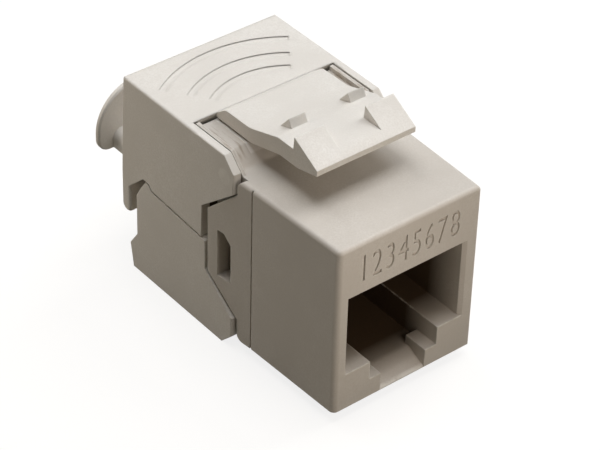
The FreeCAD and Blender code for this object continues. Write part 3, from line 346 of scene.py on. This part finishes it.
def dress_nodes():
    """Gives every node of the CAD its material."""
    ivory = plastic("ivory_plastic", IVORY, arms=True)
    case = plastic("case_plastic", IVORY, case=True)
    carrier = plastic("dark_plastic", DARK, rough=0.45)
    block = plastic("block_plastic", BROWN)
    gold = metal("gold_plate", linear(214, 170, 88), linear(190, 146, 70), 0.25)
    tin = metal("tin_plate", linear(196, 194, 188), linear(168, 166, 160), 0.32)
    finishes = {
        "front_housing": case,
        "upper_arm": ivory,
        "lower_arm": ivory,
        "terminal_block": block,
        "contact_carrier": carrier,
        "circuit_board": board_material(),
    }
    for name, node in nodes.items():
        plating = gold if name.startswith("contact_") else tin
        node.data.materials.clear()
        node.data.materials.append(finishes.get(name, plating))


# ---------------------------------------------------------------- engraved numbers
DIGITS = "12345678"
DIGIT_HEIGHT = 2.5       # mm
DIGIT_PITCH = 1.34       # mm from one digit's middle to the next one's
DIGIT_NARROW = 0.62      # width of a digit against its natural one
DIGIT_DEPTH = 0.15       # mm
DIGIT_CENTRE_Z = 14.76   # mm above the housing's lowest point
WELD = 1e-4              # mm, vertices nearer than this are one
SHARP_ANGLE = math.radians(30)


def digit_mesh(digit):
    """One digit as a closed prism in mm, upright in X and Z, with its depth along Y."""
    curve = bpy.data.curves.new("digit", "FONT")
    curve.body = digit
    curve.align_x = "CENTER"
    curve.size = 1.0
    curve.resolution_u = 4
    curve.extrude = 0.5
    source = bpy.data.objects.new("digit", curve)
    mesh = bpy.data.meshes.new_from_object(source)
    bpy.data.objects.remove(source)
    bpy.data.curves.remove(curve)
    across = [vertex.co.x for vertex in mesh.vertices]
    upward = [vertex.co.y for vertex in mesh.vertices]
    scale = DIGIT_HEIGHT / (max(upward) - min(upward))
    middle = Vector(((max(across) + min(across)) / 2, (max(upward) + min(upward)) / 2, 0))
    size = Matrix.Diagonal((scale * DIGIT_NARROW, scale, 2 * DIGIT_DEPTH, 1))
    stand = Matrix.Rotation(math.radians(90), 4, "X")
    mesh.transform(stand @ size @ Matrix.Translation(-middle))
    return mesh


def apply_modifier(piece, kind, **values):
    """Adds one modifier, sets it and replaces the piece's mesh by its result."""
    modifier = piece.modifiers.new(kind.lower(), kind)
    for key, value in values.items():
        setattr(modifier, key, value)
    bpy.context.view_layer.update()
    before = piece.data
    seen = piece.evaluated_get(bpy.context.evaluated_depsgraph_get())
    made = bpy.data.meshes.new_from_object(seen)
    piece.modifiers.clear()
    piece.data = made
    bpy.data.meshes.remove(before)


def mesh_object(name, shape):
    """Object from a bmesh, which is freed."""
    mesh = bpy.data.meshes.new(name)
    shape.to_mesh(mesh)
    shape.free()
    piece = bpy.data.objects.new(name, mesh)
    collection.objects.link(piece)
    return piece


def numbers_cutter():
    """All eight digits, half sunk into the front face, in mm."""
    low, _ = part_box("front_housing")
    shape = bmesh.new()
    for place, digit in enumerate(DIGITS):
        mesh = digit_mesh(digit)
        across = (place - (len(DIGITS) - 1) / 2) * DIGIT_PITCH
        mesh.transform(Matrix.Translation((across, low[1] / MM, low[2] / MM + DIGIT_CENTRE_Z)))
        shape.from_mesh(mesh)
        bpy.data.meshes.remove(mesh)
    bmesh.ops.remove_doubles(shape, verts=shape.verts, dist=WELD)
    bmesh.ops.recalc_face_normals(shape, faces=shape.faces)
    return mesh_object("numbers", shape)


def cut_housing():
    """A copy of the front housing in mm, with the numbers cut into it."""
    shape = bmesh.new()
    shape.from_mesh(nodes["front_housing"].data)
    shape.transform(Matrix.Scale(1 / MM, 4))
    bmesh.ops.remove_doubles(shape, verts=shape.verts, dist=WELD)
    housing = mesh_object("front_housing_numbered", shape)
    cutter = numbers_cutter()
    apply_modifier(housing, "BOOLEAN", operation="DIFFERENCE", solver="EXACT", use_self=True,
                   object=cutter)
    bpy.data.objects.remove(cutter)
    return housing


def scale_and_smooth(piece):
    """Takes a mesh from mm to metres and shades it smooth up to its sharp edges."""
    shape = bmesh.new()
    shape.from_mesh(piece.data)
    shape.transform(Matrix.Scale(MM, 4))
    for edge in shape.edges:
        edge.smooth = edge.calc_face_angle(0) < SHARP_ANGLE
    for face in shape.faces:
        face.smooth = True
    shape.to_mesh(piece.data)
    shape.free()
    apply_modifier(piece, "WEIGHTED_NORMAL", keep_sharp=True, weight=50)


def number_the_housing():
    """The front housing with the contacts' numbers sunk into the band over the port."""
    housing = cut_housing()
    scale_and_smooth(housing)
    housing.data.materials.clear()
    housing.data.materials.append(nodes["front_housing"].data.materials[0])
    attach(housing, "housing")
    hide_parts("front_housing")


# ---------------------------------------------------------------- floor and light
FLOOR_HALF = 1.5         # m
FLOOR_GLOW = 0.82        # of white, seen by the camera and in reflections
FLOOR_CATCH = (0.22, 0.215, 0.205)    # what takes the shadow there
FLOOR_BOUNCE = (0.17, 0.155, 0.115)   # what the floor sends back to the object
WORLD_COLOUR = (1.0, 0.96, 0.9)
WORLD_STRENGTH = 0.01
LAMPS = {     # place and side of the square in mm, watts, colour
    "overhead": ((0, 0, 268), 160, 0.272, (1.0, 0.99, 0.98)),
    "right": ((138, 0, 228), 110, 0.21, (0.97, 0.985, 1.0)),
    "right_low": ((236, 0, 118), 110, 0.16, (1.0, 0.97, 0.92)),
    "behind": ((0, 138, 228), 110, 0.158, (0.98, 0.99, 1.0)),
    "left_behind": ((-48, 50, 35), 25, 0.008, (1.0, 0.86, 0.70)),
    "left_low": ((-167, 167, 70), 110, 0.023, (1.0, 0.88, 0.66)),
    "front_right": ((167, -167, 118), 110, 0.04, (1.0, 0.90, 0.74)),
    "front": ((-3, -43, 22), 20, 0.0040, (1.0, 0.88, 0.76)),
}
LAMP_TARGET = Vector((0, 0, 8)) * MM


def floor_material():
    """White to the camera and in reflections, dim to the light that falls on the object."""
    shader = Shader("floor")
    path = shader.add("ShaderNodeLightPath")
    seen = path.outputs["Is Camera Ray"]
    for kind in ("Is Glossy Ray", "Is Transmission Ray"):
        seen = shader.compute("MAXIMUM", seen, path.outputs[kind])
    shader.link(shader.mix(seen, FLOOR_BOUNCE, FLOOR_CATCH), shader.surface.inputs["Base Color"])
    shader.surface.inputs["Roughness"].default_value = 1.0
    shader.surface.inputs["Specular IOR Level"].default_value = 0.0
    shader.surface.inputs["Emission Color"].default_value = (1, 1, 1, 1)
    glow = shader.ramp(seen, 0.0, FLOOR_GLOW, 0.0, 1.0)
    shader.link(glow, shader.surface.inputs["Emission Strength"])
    return shader.material


def make_floor():
    corners = [(x * FLOOR_HALF, y * FLOOR_HALF, 0) for x, y in ((-1, -1), (1, -1), (1, 1), (-1, 1))]
    mesh = bpy.data.meshes.new("floor")
    mesh.from_pydata(corners, [], [(0, 1, 2, 3)])
    mesh.materials.append(floor_material())
    floor = bpy.data.objects.new("floor", mesh)
    collection.objects.link(floor)


def make_world():
    world = bpy.data.worlds.new("world")
    scene.world = world
    world.use_nodes = True
    background = world.node_tree.nodes["Background"]
    background.inputs["Color"].default_value = (*WORLD_COLOUR, 1)
    background.inputs["Strength"].default_value = WORLD_STRENGTH


def make_lamps():
    for name, (place, size, power, colour) in LAMPS.items():
        data = bpy.data.lights.new(name, "AREA")
        data.shape = "SQUARE"
        data.size = size * MM
        data.energy = power
        data.color = colour
        lamp = bpy.data.objects.new(name, data)
        collection.objects.link(lamp)
        lamp.location = Vector(place) * MM
        lamp.rotation_mode = "QUATERNION"
        lamp.rotation_quaternion = (LAMP_TARGET - lamp.location).to_track_quat("-Z", "Y")


make_camera()
dress_nodes()
number_the_housing()
make_floor()
make_world()
make_lamps()
